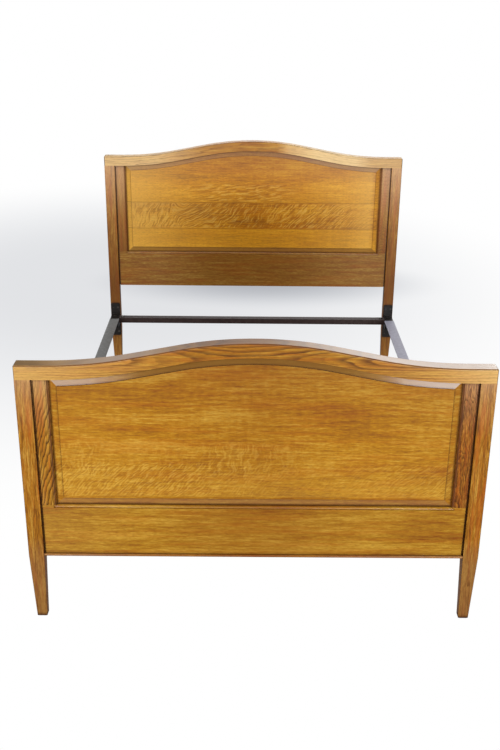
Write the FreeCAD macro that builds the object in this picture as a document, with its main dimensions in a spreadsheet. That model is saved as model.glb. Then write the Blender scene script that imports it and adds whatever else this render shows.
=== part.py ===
import FreeCAD, Part
import math
import os
from types import SimpleNamespace

import Sketcher
from FreeCAD import Rotation, Vector

# Oak panel bed: a headboard and a footboard, each a frame-and-panel board between two legs, joined
# by two angle irons that hook into cast corner brackets.
# X runs across the bed, Y from the footboard to the headboard, Z up from the floor.

doc = FreeCAD.newDocument("panel_bed")

driving = (
    # the whole bed
    ("overall_width", 1400),
    ("overall_length", 2108),
    ("head_height", 1090),
    ("foot_height", 866),
    # camel-back crest, the same on both boards
    ("crest_rise", 73),
    ("crest_run", 620),
    ("crest_slope", 138),
    ("crown_radius", 1180),
    # top rail
    ("top_rail_height", 44),
    ("top_rail_depth", 48),
    ("top_rail_round", 4),
    # posts and their tapered legs
    ("post_width", 48),
    ("post_depth", 42),
    ("post_arris", 2.5),
    ("leg_height", 230),
    ("leg_outer_taper", 10),
    ("leg_inner_taper", 6),
    ("leg_front_taper", 5),
    ("leg_back_taper", 9),
    ("leg_chamfer", 3),
    # stiles, lower rail and the shadow quirk beside each post
    ("frame_setback", 6),
    ("frame_thickness", 22),
    ("stile_width", 49),
    ("lower_rail_height", 170),
    ("quirk_width", 6),
    ("quirk_depth", 7),
    ("ovolo_radius", 8),
    ("ovolo_step", 1.5),
    ("ovolo_flat", 1),
    ("bead_height", 9),
    ("bead_setback", 0.5),
    ("bead_flat", 0.6),
    # raised and fielded panel in its groove
    ("panel_height", 416),
    ("groove_setback", 11),
    ("groove_width", 6),
    ("groove_depth", 10),
    ("panel_entry", 8),
    ("field_setback", 4),
    ("margin_width", 24),
    ("margin_step", 2.4),
    # joints in the wood
    ("joint_clearance", 0.3),
    ("panel_clearance", 0.15),
    ("rail_tenon_length", 32),
    ("rail_tenon_thickness", 10),
    ("rail_tenon_setback", 8),
    ("rail_tenon_shoulder", 20),
    ("stile_tenon_length", 24),
    ("stile_tenon_width", 26),
    ("stile_tenon_edge", 11),
    ("post_tenon_length", 26),
    ("post_tenon_width", 28),
    ("post_tenon_thickness", 16),
    ("dowel_radius", 4),
    ("dowel_length", 40),
    ("dowel_margin", 70),
    # side irons and cross irons
    ("iron_top", 311),
    ("iron_flange", 45),
    ("iron_thickness", 4),
    ("iron_inset", 3),
    ("cross_setback", 22),
    ("cross_flange", 37),
    ("cross_leg", 25),
    ("cross_thickness", 3),
    ("cross_gap", 1),
    # cast corner bracket
    ("plate_drop", 109),
    ("plate_height", 166),
    ("plate_width", 44),
    ("plate_thickness", 5),
    ("plate_round", 6),
    ("socket_width", 40),
    ("socket_depth", 30),
    ("socket_height", 51),
    ("socket_rise", 2),
    ("socket_round", 3),
    ("slot_back", 12),
    ("slot_mouth", 16),
    ("slot_inner", 25),
    ("slot_floor", 6),
    ("slot_taper", 3),
    ("lug_near", 12),
    ("lug_far", 52),
    ("lug_reach", 56),
    ("lug_thickness", 6),
    # cast hook on the end of a side iron
    ("hook_clearance", 0.4),
    ("hook_reach", 72),
    ("hook_round", 2),
    ("ear_length", 46),
    ("ear_thickness", 8),
    ("ear_bottom", 5),
    # fastenings
    ("bolt_radius", 4),
    ("bolt_offset", 38),
    ("bolt_head_radius", 8),
    ("bolt_head_height", 4.5),
    ("bolt_head_round", 3),
    ("bolt_end", 2),
    ("nut_size", 13),
    ("nut_height", 6.5),
    ("screw_radius", 2.5),
    ("screw_head_radius", 4.8),
    ("screw_length", 21),
    ("screw_tip", 6),
    ("screw_slot", 1.2),
    ("screw_spread", 12),
    ("screw_margin", 20),
    ("rivet_radius", 4),
    ("rivet_head_radius", 6.5),
    ("rivet_head_height", 2.8),
    ("rivet_head_round", 2),
    ("rivet_edge", 12),
    ("rivet_drop", 24),
    ("hole_clearance", 0.3),
)


class Size:
    """A length with its value now and the sheet expression that keeps it up to date."""

    def __init__(self, value, text):
        self.value = value
        self.text = text

    def __add__(self, other):
        other = asSize(other)
        return Size(self.value + other.value, f"({self.text} + {other.text})")

    def __sub__(self, other):
        other = asSize(other)
        return Size(self.value - other.value, f"({self.text} - {other.text})")

    def __rsub__(self, other):
        return asSize(other) - self

    def __mul__(self, other):
        other = asSize(other)
        return Size(self.value * other.value, f"({self.text} * {other.text})")

    def __truediv__(self, other):
        other = asSize(other)
        return Size(self.value / other.value, f"({self.text} / {other.text})")

    def __neg__(self):
        return Size(-self.value, f"(-1 * {self.text})")

    __radd__ = __add__
    __rmul__ = __mul__


def asSize(number):
    if isinstance(number, Size):
        return number
    return Size(float(number), f"({number})")


def fillSheet():
    sheet = doc.addObject("Spreadsheet::Sheet", "sizes")
    named = SimpleNamespace()
    for row, (alias, value) in enumerate(driving, start=1):
        sheet.set(f"A{row}", alias.replace("_", " "))
        sheet.set(f"B{row}", str(value))
        sheet.setAlias(f"B{row}", alias)
        setattr(named, alias, Size(float(value), f"sizes.{alias}"))
    doc.recompute()
    return named


s = fillSheet()

# Places that several pieces share, in board coordinates: X from the middle of the bed, Y back from
# the board's front plane, Z from the floor.
halfWidth = s.overall_width / 2
postInner = halfWidth - s.post_width
postMiddle = halfWidth - s.post_width / 2
sightHalf = postInner - s.stile_width
fieldHalf = sightHalf - s.margin_width
frameBack = s.frame_setback + s.frame_thickness
grooveFront = s.frame_setback + s.groove_setback
quirkBack = s.frame_setback + s.quirk_depth
ovoloFront = s.frame_setback + s.ovolo_step
railTenonFront = s.frame_setback + s.rail_tenon_setback
dowelY = (quirkBack + frameBack) / 2

# Heights and reaches of the ironwork, from the floor and from the post's face
plateBottom = s.iron_top - s.plate_drop
plateTop = plateBottom + s.plate_height
socketTop = s.iron_top + s.socket_rise
socketBottom = socketTop - s.socket_height
slotBottom = socketBottom + s.slot_floor
ironBottom = s.iron_top - s.iron_flange
ironUnder = s.iron_top - s.iron_thickness
ironOuter = s.post_width / 2 - s.iron_inset
ironInner = ironOuter - s.iron_thickness
lugTop = s.iron_top - s.cross_thickness
lugBottom = lugTop - s.lug_thickness
boltY = s.cross_setback + (s.cross_flange - s.cross_thickness) / 2
rivetZ = s.iron_top - s.rivet_drop
screwHole = s.screw_radius + s.hole_clearance


def makeBoard(name, front, corner):
    under = corner - s.top_rail_height
    panelFoot = under - s.panel_height
    return SimpleNamespace(
        name=name,
        front=front,
        corner=corner,
        under=under,
        panelFoot=panelFoot,
        railFoot=panelFoot - s.lower_rail_height,
    )


foot = makeBoard("foot", -1 * s.overall_length / 2, s.foot_height)
head = makeBoard("head", s.overall_length / 2 - s.top_rail_depth, s.head_height)


# ---- document helpers ----

def newBody(name, x=0, y=0, z=0, turned=False):
    body = doc.addObject("PartDesign::Body", name)
    body.Label = name
    body.AllowCompound = True
    if turned:
        body.Placement = FreeCAD.Placement(Vector(0, 0, 0), Rotation(Vector(0, 0, 1), 180))
    for axis, place in (("x", x), ("y", y), ("z", z)):
        body.setExpression(f"Placement.Base.{axis}", asSize(place).text)
    return body


def newSketch(body, name, plane, along):
    """A sketch on the body's own plane, moved along the plane's world axis to the given place."""
    sketch = body.newObject("Sketcher::SketchObject", f"{body.Name}_{name}")
    planes = {feature.Role: feature for feature in body.Origin.OriginFeatures}
    sketch.AttachmentSupport = [(planes[plane], "")]
    sketch.MapMode = "FlatFace"
    offset = asSize(along)
    if plane == "XZ_Plane":
        offset = -offset
    sketch.setExpression("AttachmentOffset.Base.z", offset.text)
    return sketch


def bind(sketch, constraint, size):
    index = sketch.addConstraint(constraint)
    sketch.setExpression(f"Constraints[{index}]", size.text)


def pin(sketch, geometry, vertex, x, y):
    x = asSize(x)
    y = asSize(y)
    bind(sketch, Sketcher.Constraint("DistanceX", -1, 1, geometry, vertex, x.value), x)
    bind(sketch, Sketcher.Constraint("DistanceY", -1, 1, geometry, vertex, y.value), y)


def vertexAt(sketch, geometry, point):
    """1 where the curve starts at the point, 2 where it ends there."""
    curve = sketch.Geometry[geometry]
    toStart = curve.StartPoint.distanceToPoint(point)
    toEnd = curve.EndPoint.distanceToPoint(point)
    return 1 if toStart <= toEnd else 2


def sign(value):
    return (value > 0) - (value < 0)


def roundCorner(sketch, middle, radius, start, end):
    """A quarter arc about the middle, whichever way round its two ends lie."""
    first = math.atan2(start.y - middle.y, start.x - middle.x)
    last = math.atan2(end.y - middle.y, end.x - middle.x)
    if (last - first) % (2 * math.pi) > math.pi:
        first, last = last, first
    arc = Part.ArcOfCircle(Part.Circle(middle, Vector(0, 0, 1), radius.value), first, last)
    edge = sketch.addGeometry(arc, False)
    bind(sketch, Sketcher.Constraint("Radius", edge, radius.value), radius)
    return edge


def outline(sketch, corners):
    """A closed outline of straight edges. A corner is (x, y), or (x, y, radius) where it is rounded
    between two edges that run along the sketch's axes."""
    count = len(corners)
    places = [(asSize(corner[0]), asSize(corner[1])) for corner in corners]
    points = []
    rounds = {}
    for number, corner in enumerate(corners):
        x, y = places[number]
        if len(corner) == 2:
            points.append((x, y))
            continue
        radius = asSize(corner[2])
        xBefore, yBefore = places[number - 1]
        xAfter, yAfter = places[(number + 1) % count]
        xIn = sign(x.value - xBefore.value)
        yIn = sign(y.value - yBefore.value)
        xOut = sign(xAfter.value - x.value)
        yOut = sign(yAfter.value - y.value)
        rounds[len(points)] = (radius, x - radius * xIn + radius * xOut, y - radius * yIn + radius * yOut)
        points.append((x - radius * xIn, y - radius * yIn))
        points.append((x + radius * xOut, y + radius * yOut))
    edges = []
    vectors = [Vector(x.value, y.value, 0) for x, y in points]
    for number, start in enumerate(vectors):
        end = vectors[(number + 1) % len(vectors)]
        if number in rounds:
            radius, xMiddle, yMiddle = rounds[number]
            middle = Vector(xMiddle.value, yMiddle.value, 0)
            edges.append(roundCorner(sketch, middle, radius, start, end))
        else:
            edges.append(sketch.addGeometry(Part.LineSegment(start, end), False))
    for number, (x, y) in enumerate(points):
        before = edges[number - 1]
        after = edges[number]
        ending = vertexAt(sketch, before, vectors[number])
        starting = vertexAt(sketch, after, vectors[number])
        sketch.addConstraint(Sketcher.Constraint("Coincident", before, ending, after, starting))
        pin(sketch, after, starting, x, y)


def rectangle(sketch, x0, x1, y0, y1, radius=None):
    corners = [(x0, y0), (x1, y0), (x1, y1), (x0, y1)]
    if radius is not None:
        corners = [(x, y, radius) for x, y in corners]
    outline(sketch, corners)


def circle(sketch, x, y, radius):
    x = asSize(x)
    y = asSize(y)
    rim = Part.Circle(Vector(x.value, y.value, 0), Vector(0, 0, 1), radius.value)
    edge = sketch.addGeometry(rim, False)
    bind(sketch, Sketcher.Constraint("Radius", edge, radius.value), radius)
    pin(sketch, edge, 3, x, y)


def pad(body, sketch, length, toward=1):
    """Pads from the sketch toward +X, +Y or +Z, or away from it with toward=-1."""
    feature = body.newObject("PartDesign::Pad", f"{sketch.Name}_pad")
    feature.Profile = sketch
    feature.setExpression("Length", asSize(length).text)
    onXZ = sketch.AttachmentSupport[0][0].Role == "XZ_Plane"
    feature.Reversed = (toward < 0) != onXZ
    doc.recompute()
    return feature


def cut(body, sketch, length, toward=1):
    """Pockets from the sketch toward +X, +Y or +Z, or away from it with toward=-1."""
    before = body.Shape.Volume
    feature = body.newObject("PartDesign::Pocket", f"{sketch.Name}_pocket")
    feature.Profile = sketch
    feature.setExpression("Length", asSize(length).text)
    onXZ = sketch.AttachmentSupport[0][0].Role == "XZ_Plane"
    feature.Reversed = (toward > 0) != onXZ
    doc.recompute()
    mustShrink(body, feature, before)
    return feature


def mustShrink(body, feature, before):
    if not body.Shape.Volume < before:
        raise RuntimeError(f"{feature.Name} removes nothing")


def loft(body, kind, sketches):
    feature = body.newObject(kind, f"{sketches[0].Name}_loft")
    feature.Profile = sketches[0]
    feature.Sections = sketches[1:]
    feature.Ruled = True
    doc.recompute()
    return feature


def soften(body, kind, property, size, edges):
    """A fillet or chamfer on the named edges of the body's last feature."""
    base = body.Tip
    feature = body.newObject(kind, f"{base.Name}_soft")
    feature.Base = (base, edges)
    feature.setExpression(property, asSize(size).text)
    doc.recompute()
    return feature


def edgesWhere(shape, test):
    """Names of the edges whose middle point and edge pass the test."""
    names = []
    for number, edge in enumerate(shape.Edges, start=1):
        middle = edge.valueAt((edge.FirstParameter + edge.LastParameter) / 2)
        if test(middle, edge):
            names.append(f"Edge{number}")
    return names


def near(a, b):
    return abs(a - b) < 0.01


def isCircle(edge, radius):
    return isinstance(edge.Curve, Part.Circle) and near(edge.Curve.Radius, radius.value)


# ---- the crest, which both edges of the top rail and the top of the panel follow ----
# A crown arc, a straight slope and a hollow shoulder arc are tangent to each other. The tangent of
# half the slope's angle follows from the rise, and the two radii then share what the run leaves.

halfSlope = s.crest_rise / (s.crest_run + s.crest_slope)
halfSlopeSquared = halfSlope * halfSlope
bothRadii = (
    s.crest_run * (halfSlopeSquared + 1) - s.crest_slope * (1 - halfSlopeSquared)
) / (halfSlope * 2)
shoulderRadius = bothRadii - s.crown_radius
slopeAngle = 2 * math.atan(halfSlope.value)


def crestHeight(x):
    """Height of the crest curve over its flat ends."""
    slope = slopeAngle
    x = abs(x)
    crown = s.crown_radius.value
    shoulder = shoulderRadius.value
    run = s.crest_run.value
    if x <= crown * math.sin(slope):
        return s.crest_rise.value - crown + math.sqrt(crown ** 2 - x ** 2)
    if x >= run:
        return 0.0
    if x >= run - shoulder * math.sin(slope):
        return shoulder - math.sqrt(shoulder ** 2 - (run - x) ** 2)
    foot = run - shoulder * math.sin(slope)
    return shoulder * (1 - math.cos(slope)) + (foot - x) * math.tan(slope)


def crestCurve(sketch, half, base, flats=None):
    """Adds the crest from -half to half over the height base: a crown arc, two straight slopes, two
    hollow shoulder arcs and, where the curve is wider than the crest, flat ends. Gives its two ends."""
    if flats is None:
        flats = half.value > s.crest_run.value
    slope = slopeAngle
    crown = s.crown_radius
    shoulder = shoulderRadius
    crownMiddle = base + s.crest_rise - crown
    shoulderMiddle = base + shoulder
    upward = Vector(0, 0, 1)
    xCrown = crown.value * math.sin(slope)
    zCrown = crownMiddle.value + crown.value * math.cos(slope)
    xFoot = s.crest_run.value - shoulder.value * math.sin(slope)
    zFoot = shoulderMiddle.value - shoulder.value * math.cos(slope)

    circleArc = Part.Circle(Vector(0, crownMiddle.value, 0), upward, crown.value)
    arc = Part.ArcOfCircle(circleArc, math.pi / 2 - slope, math.pi / 2 + slope)
    crownEdge = sketch.addGeometry(arc, False)
    bind(sketch, Sketcher.Constraint("Radius", crownEdge, crown.value), crown)
    pin(sketch, crownEdge, 3, 0, crownMiddle)

    ends = []
    for side in (-1, 1):
        lineStart = Vector(side * xCrown, zCrown, 0)
        lineEnd = Vector(side * xFoot, zFoot, 0)
        line = sketch.addGeometry(Part.LineSegment(lineStart, lineEnd), False)
        over = half.value if not flats else s.crest_run.value
        past = math.asin((s.crest_run.value - over) / shoulder.value)
        low = -math.pi / 2 + (past if side < 0 else -slope)
        high = -math.pi / 2 + (slope if side < 0 else -past)
        middle = Vector(side * s.crest_run.value, shoulderMiddle.value, 0)
        arc = Part.ArcOfCircle(Part.Circle(middle, upward, shoulder.value), low, high)
        bend = sketch.addGeometry(arc, False)
        inner, outer = (2, 1) if side < 0 else (1, 2)
        bind(sketch, Sketcher.Constraint("Radius", bend, shoulder.value), shoulder)
        pin(sketch, bend, 3, s.crest_run * side, shoulderMiddle)
        sketch.addConstraint(Sketcher.Constraint("Tangent", line, 1, crownEdge, 2 if side < 0 else 1))
        sketch.addConstraint(Sketcher.Constraint("Tangent", line, 2, bend, inner))
        stop = s.crest_run if flats else half
        x = stop * side
        bind(sketch, Sketcher.Constraint("DistanceX", -1, 1, bend, outer, x.value), x)
        if not flats:
            ends.append((bend, outer))
            continue
        flatEnd = Vector(side * half.value, base.value, 0)
        flat = sketch.addGeometry(Part.LineSegment(Vector(side * s.crest_run.value, base.value, 0), flatEnd), False)
        sketch.addConstraint(Sketcher.Constraint("Coincident", flat, 1, bend, outer))
        pin(sketch, flat, 2, half * side, base)
        ends.append((flat, 2))
    return ends


def pointOf(sketch, end):
    curve = sketch.Geometry[end[0]]
    return curve.StartPoint if end[1] == 1 else curve.EndPoint


def join(sketch, end, other):
    """A straight edge between the free ends of two curves."""
    line = sketch.addGeometry(Part.LineSegment(pointOf(sketch, end), pointOf(sketch, other)), False)
    sketch.addConstraint(Sketcher.Constraint("Coincident", line, 1, end[0], end[1]))
    sketch.addConstraint(Sketcher.Constraint("Coincident", line, 2, other[0], other[1]))


def crestBand(sketch, half, low, high):
    """The band between two crest curves, closed by upright ends."""
    lowEnds = crestCurve(sketch, half, low)
    highEnds = crestCurve(sketch, half, high)
    for lowEnd, highEnd in zip(lowEnds, highEnds):
        join(sketch, lowEnd, highEnd)


def crestTopped(sketch, half, bottom, top, flats=None):
    """An upright rectangle whose top edge is the crest curve."""
    left, right = crestCurve(sketch, half, top, flats)
    start = Vector(-half.value, bottom.value, 0)
    end = Vector(half.value, bottom.value, 0)
    sill = sketch.addGeometry(Part.LineSegment(start, end), False)
    pin(sketch, sill, 1, -half, bottom)
    pin(sketch, sill, 2, half, bottom)
    join(sketch, left, (sill, 1))
    join(sketch, right, (sill, 2))


# ---- woodwork ----

def topRail(board):
    body = newBody(f"{board.name}_top_rail", y=board.front)
    face = newSketch(body, "face", "XZ_Plane", 0)
    crestBand(face, halfWidth, board.under, board.corner)
    pad(body, face, s.top_rail_depth)
    depth = s.top_rail_depth.value
    middleHeight = s.top_rail_height.value / 2

    def onTopRim(middle, edge):
        overCurve = middle.z - board.under.value - crestHeight(middle.x)
        onFaces = near(middle.y, 0) or near(middle.y, depth)
        onEnds = near(abs(middle.x), halfWidth.value)
        return overCurve > middleHeight - 1 and (onFaces or onEnds)

    soften(body, "PartDesign::Fillet", "Radius", s.top_rail_round, edgesWhere(body.Tip.Shape, onTopRim))
    groove = newSketch(body, "groove", "XZ_Plane", grooveFront - s.panel_clearance)
    crestBand(groove, sightHalf + s.groove_depth, board.under - s.groove_depth, board.under + s.groove_depth)
    cut(body, groove, s.groove_width + s.panel_clearance * 2)
    mortises = newSketch(body, "stile_mortises", "XY_Plane", board.under)
    for side in (-1, 1):
        stileTenon(mortises, side, s.joint_clearance)
    cut(body, mortises, s.stile_tenon_length + s.joint_clearance)
    mortises = newSketch(body, "post_mortises", "XY_Plane", board.under)
    for side in (-1, 1):
        postTenon(mortises, side, s.joint_clearance)
    cut(body, mortises, s.post_tenon_length + s.joint_clearance)


def stileTenon(sketch, side, extra):
    """Plan of the tenon at either end of a stile, in line with the panel groove."""
    inner = sightHalf + s.stile_tenon_edge
    rectangle(
        sketch,
        (inner - extra) * side,
        (inner + s.stile_tenon_width + extra) * side,
        grooveFront - extra,
        grooveFront + s.groove_width + extra,
    )


def postTenon(sketch, side, extra):
    """Plan of the tenon on top of a post."""
    halfTenon = s.post_tenon_width / 2 + extra
    halfThick = s.post_tenon_thickness / 2 + extra
    rectangle(
        sketch,
        postMiddle * side - halfTenon,
        postMiddle * side + halfTenon,
        s.post_depth / 2 - halfThick,
        s.post_depth / 2 + halfThick,
    )


def railTenon(sketch, board, extra):
    """Side view of the tenon at either end of the lower rail."""
    rectangle(
        sketch,
        railTenonFront - extra,
        railTenonFront + s.rail_tenon_thickness + extra,
        board.railFoot + s.rail_tenon_shoulder - extra,
        board.panelFoot - s.rail_tenon_shoulder + extra,
    )


def dowelCircles(sketch, board, radius):
    """Three dowels up the edge of a stile."""
    spacing = (s.panel_height - s.dowel_margin * 2) / 2
    for number in range(3):
        circle(sketch, dowelY, board.panelFoot + s.dowel_margin + spacing * number, radius)


def screwPlaces():
    """Screws of a corner bracket, from the middle of the post's face."""
    for z in (plateBottom + s.screw_margin, plateTop - s.screw_margin):
        for side in (-1, 1):
            yield s.screw_spread * side, z


def postSection(sketch, side, outer, inner, front, back):
    rectangle(
        sketch,
        (postInner + inner) * side,
        (halfWidth - outer) * side,
        asSize(front),
        s.post_depth - back,
        s.post_arris,
    )


def post(board, side, sideName):
    body = newBody(f"{board.name}_{sideName}_post", y=board.front)
    section = newSketch(body, "section", "XY_Plane", s.leg_height)
    postSection(section, side, 0, 0, 0, 0)
    pad(body, section, board.under - s.leg_height)

    top = newSketch(body, "leg_top", "XY_Plane", s.leg_height)
    postSection(top, side, 0, 0, 0, 0)
    ankle = newSketch(body, "leg_ankle", "XY_Plane", s.leg_chamfer)
    tapers = (s.leg_outer_taper, s.leg_inner_taper, s.leg_front_taper, s.leg_back_taper)
    postSection(ankle, side, *tapers)
    sole = newSketch(body, "leg_sole", "XY_Plane", 0)
    postSection(sole, side, *[taper + s.leg_chamfer for taper in tapers])
    loft(body, "PartDesign::AdditiveLoft", [top, ankle, sole])

    tenon = newSketch(body, "tenon", "XY_Plane", board.under)
    postTenon(tenon, side, 0)
    pad(body, tenon, s.post_tenon_length)
    mortise = newSketch(body, "rail_mortise", "YZ_Plane", postInner * side)
    railTenon(mortise, board, s.joint_clearance)
    cut(body, mortise, s.rail_tenon_length + s.joint_clearance, side)
    holes = newSketch(body, "dowel_holes", "YZ_Plane", postInner * side)
    dowelCircles(holes, board, s.dowel_radius + s.joint_clearance)
    cut(body, holes, s.dowel_length / 2 + s.joint_clearance, side)
    ironFace = 0 if board is head else s.post_depth
    holes = newSketch(body, "screw_holes", "XZ_Plane", ironFace)
    for x, z in screwPlaces():
        circle(holes, postMiddle * side + x, z, screwHole)
    cut(body, holes, s.screw_length - s.plate_thickness + s.joint_clearance, 1 if board is head else -1)


def stile(board, side, sideName):
    body = newBody(f"{board.name}_{sideName}_stile", y=board.front)
    section = newSketch(body, "section", "XY_Plane", board.panelFoot)
    front = s.frame_setback
    grooveEdge = sightHalf + s.groove_depth
    corners = [
        (sightHalf, ovoloFront, s.ovolo_radius),
        (sightHalf + s.ovolo_radius + s.ovolo_flat, ovoloFront),
        (sightHalf + s.ovolo_radius + s.ovolo_flat, front),
        (postInner - s.quirk_width, front),
        (postInner - s.quirk_width, quirkBack),
        (postInner, quirkBack),
        (postInner, frameBack),
        (sightHalf, frameBack),
        (sightHalf, grooveFront + s.groove_width + s.panel_clearance),
        (grooveEdge, grooveFront + s.groove_width + s.panel_clearance),
        (grooveEdge, grooveFront - s.panel_clearance),
        (sightHalf, grooveFront - s.panel_clearance),
    ]
    outline(section, [(corner[0] * side, *corner[1:]) for corner in corners])
    pad(body, section, s.panel_height)
    for place, toward in ((board.panelFoot, -1), (board.under, 1)):
        tenon = newSketch(body, "tenon", "XY_Plane", place)
        stileTenon(tenon, side, 0)
        pad(body, tenon, s.stile_tenon_length, toward)
    holes = newSketch(body, "dowel_holes", "YZ_Plane", postInner * side)
    dowelCircles(holes, board, s.dowel_radius + s.joint_clearance)
    cut(body, holes, s.dowel_length / 2 + s.joint_clearance, -side)


def dowels(board, side, sideName):
    body = newBody(f"{board.name}_{sideName}_dowels", y=board.front)
    ends = newSketch(body, "ends", "YZ_Plane", postInner * side - s.dowel_length / 2)
    dowelCircles(ends, board, s.dowel_radius)
    pad(body, ends, s.dowel_length)


def panel(board):
    body = newBody(f"{board.name}_panel", y=board.front)
    tongue = newSketch(body, "tongue", "XZ_Plane", grooveFront)
    crestTopped(tongue, sightHalf + s.panel_entry, board.panelFoot - s.panel_entry, board.under + s.panel_entry)
    pad(body, tongue, s.groove_width)
    fieldFront = s.frame_setback + s.field_setback
    flats = fieldHalf.value > s.crest_run.value
    rim = newSketch(body, "margin_rim", "XZ_Plane", grooveFront)
    crestTopped(rim, sightHalf, board.panelFoot, board.under, flats)
    inner = newSketch(body, "margin_inner", "XZ_Plane", fieldFront + s.margin_step)
    fieldEdges = (fieldHalf, board.panelFoot + s.margin_width, board.under - s.margin_width, flats)
    crestTopped(inner, *fieldEdges)
    loft(body, "PartDesign::AdditiveLoft", [rim, inner])
    field = newSketch(body, "field", "XZ_Plane", fieldFront)
    crestTopped(field, *fieldEdges)
    pad(body, field, s.margin_step)


def lowerRail(board):
    body = newBody(f"{board.name}_lower_rail", y=board.front)
    face = newSketch(body, "face", "XZ_Plane", s.frame_setback)
    rectangle(face, -postInner, postInner, board.railFoot, board.panelFoot)
    pad(body, face, s.frame_thickness)

    groove = newSketch(body, "groove", "XZ_Plane", grooveFront - s.panel_clearance)
    grooveHalf = sightHalf + s.groove_depth
    rectangle(groove, -grooveHalf, grooveHalf, board.panelFoot - s.groove_depth, board.panelFoot)
    cut(body, groove, s.groove_width + s.panel_clearance * 2)
    quirks = newSketch(body, "quirks", "XZ_Plane", s.frame_setback)
    for side in (-1, 1):
        rectangle(quirks, (postInner - s.quirk_width) * side, postInner * side, board.railFoot, board.panelFoot)
    cut(body, quirks, s.quirk_depth)
    mortises = newSketch(body, "stile_mortises", "XY_Plane", board.panelFoot)
    for side in (-1, 1):
        stileTenon(mortises, side, s.joint_clearance)
    cut(body, mortises, s.stile_tenon_length + s.joint_clearance, -1)
    railOvolo(body, board)

    tenons = newSketch(body, "tenons", "YZ_Plane", -postInner - s.rail_tenon_length)
    railTenon(tenons, board, 0)
    pad(body, tenons, s.rail_tenon_length)
    tenons = newSketch(body, "tenons", "YZ_Plane", postInner)
    railTenon(tenons, board, 0)
    pad(body, tenons, s.rail_tenon_length)


def railOvolo(body, board):
    """The ovolo along the top of the rail turns up at a mitre into the ovolo of each stile."""
    rise = s.stile_width
    path = newSketch(body, "ovolo_path", "XZ_Plane", s.frame_setback)
    places = [
        (-sightHalf, board.panelFoot + rise),
        (-sightHalf, board.panelFoot),
        (sightHalf, board.panelFoot),
        (sightHalf, board.panelFoot + rise),
    ]
    for (x0, z0), (x1, z1) in zip(places, places[1:]):
        line = Part.LineSegment(Vector(x0.value, z0.value, 0), Vector(x1.value, z1.value, 0))
        edge = path.addGeometry(line, False)
        pin(path, edge, 1, x0, z0)
        if edge > 0:
            path.addConstraint(Sketcher.Constraint("Coincident", edge - 1, 2, edge, 1))
    pin(path, 2, 2, *places[3])

    waste = newSketch(body, "ovolo_waste", "XY_Plane", board.panelFoot + rise)
    radius = s.ovolo_radius
    inner = -sightHalf
    middle = inner - radius
    outer = middle - s.ovolo_flat
    front = s.frame_setback
    back = ovoloFront + radius
    points = [(middle, ovoloFront), (outer, ovoloFront), (outer, front), (inner, front), (inner, back)]
    vectors = [Vector(x.value, y.value, 0) for x, y in points]
    for edge, (start, end) in enumerate(zip(vectors, vectors[1:])):
        waste.addGeometry(Part.LineSegment(start, end), False)
        pin(waste, edge, 1, *points[edge])
        if edge > 0:
            waste.addConstraint(Sketcher.Constraint("Coincident", edge - 1, 2, edge, 1))
    last = len(points) - 2
    pin(waste, last, 2, *points[-1])
    arc = roundCorner(waste, Vector(middle.value, back.value, 0), radius, vectors[-1], vectors[0])
    for edge, vertex, point in ((0, 1, vectors[0]), (last, 2, vectors[-1])):
        waste.addConstraint(Sketcher.Constraint("Coincident", edge, vertex, arc, vertexAt(waste, arc, point)))

    before = body.Shape.Volume
    pipe = body.newObject("PartDesign::SubtractivePipe", f"{body.Name}_ovolo")
    pipe.Profile = waste
    pipe.Spine = (path, ["Edge1", "Edge2", "Edge3"])
    pipe.Transition = "Right corner"
    doc.recompute()
    mustShrink(body, pipe, before)


def bottomBead(board):
    body = newBody(f"{board.name}_bottom_bead", y=board.front)
    half = postInner - s.joint_clearance
    section = newSketch(body, "section", "YZ_Plane", -half)
    low = board.railFoot - s.bead_height
    nose = (s.bead_height - s.bead_flat) / 2
    corners = [
        (s.bead_setback, board.railFoot, nose),
        (s.bead_setback, low, nose),
        (frameBack, low),
        (frameBack, board.railFoot),
    ]
    outline(section, corners)
    pad(body, section, half * 2)


# ---- ironwork, each piece in a frame on the post's inner face with Y away from the post ----

def makeCorner(board, side, sideName):
    """Where the ironwork of one post stands. On the headboard it is turned to face the footboard."""
    turned = board is head
    return SimpleNamespace(
        name=f"{board.name}_{sideName}",
        inward=side if turned else -side,
        place=dict(
            x=postMiddle * side,
            y=board.front if turned else board.front + s.post_depth,
            turned=turned,
        ),
    )


def slotPlan(sketch, narrower, clearance, front):
    """Dovetail plan of the socket's slot, or of the hook's tongue with a clearance all round."""
    inner = (s.slot_inner - narrower) / 2 - clearance
    mouth = (s.slot_mouth - narrower) / 2 - clearance
    back = s.slot_back + clearance
    outline(sketch, [(-inner, back), (inner, back), (mouth, front), (-mouth, front)])


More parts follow.
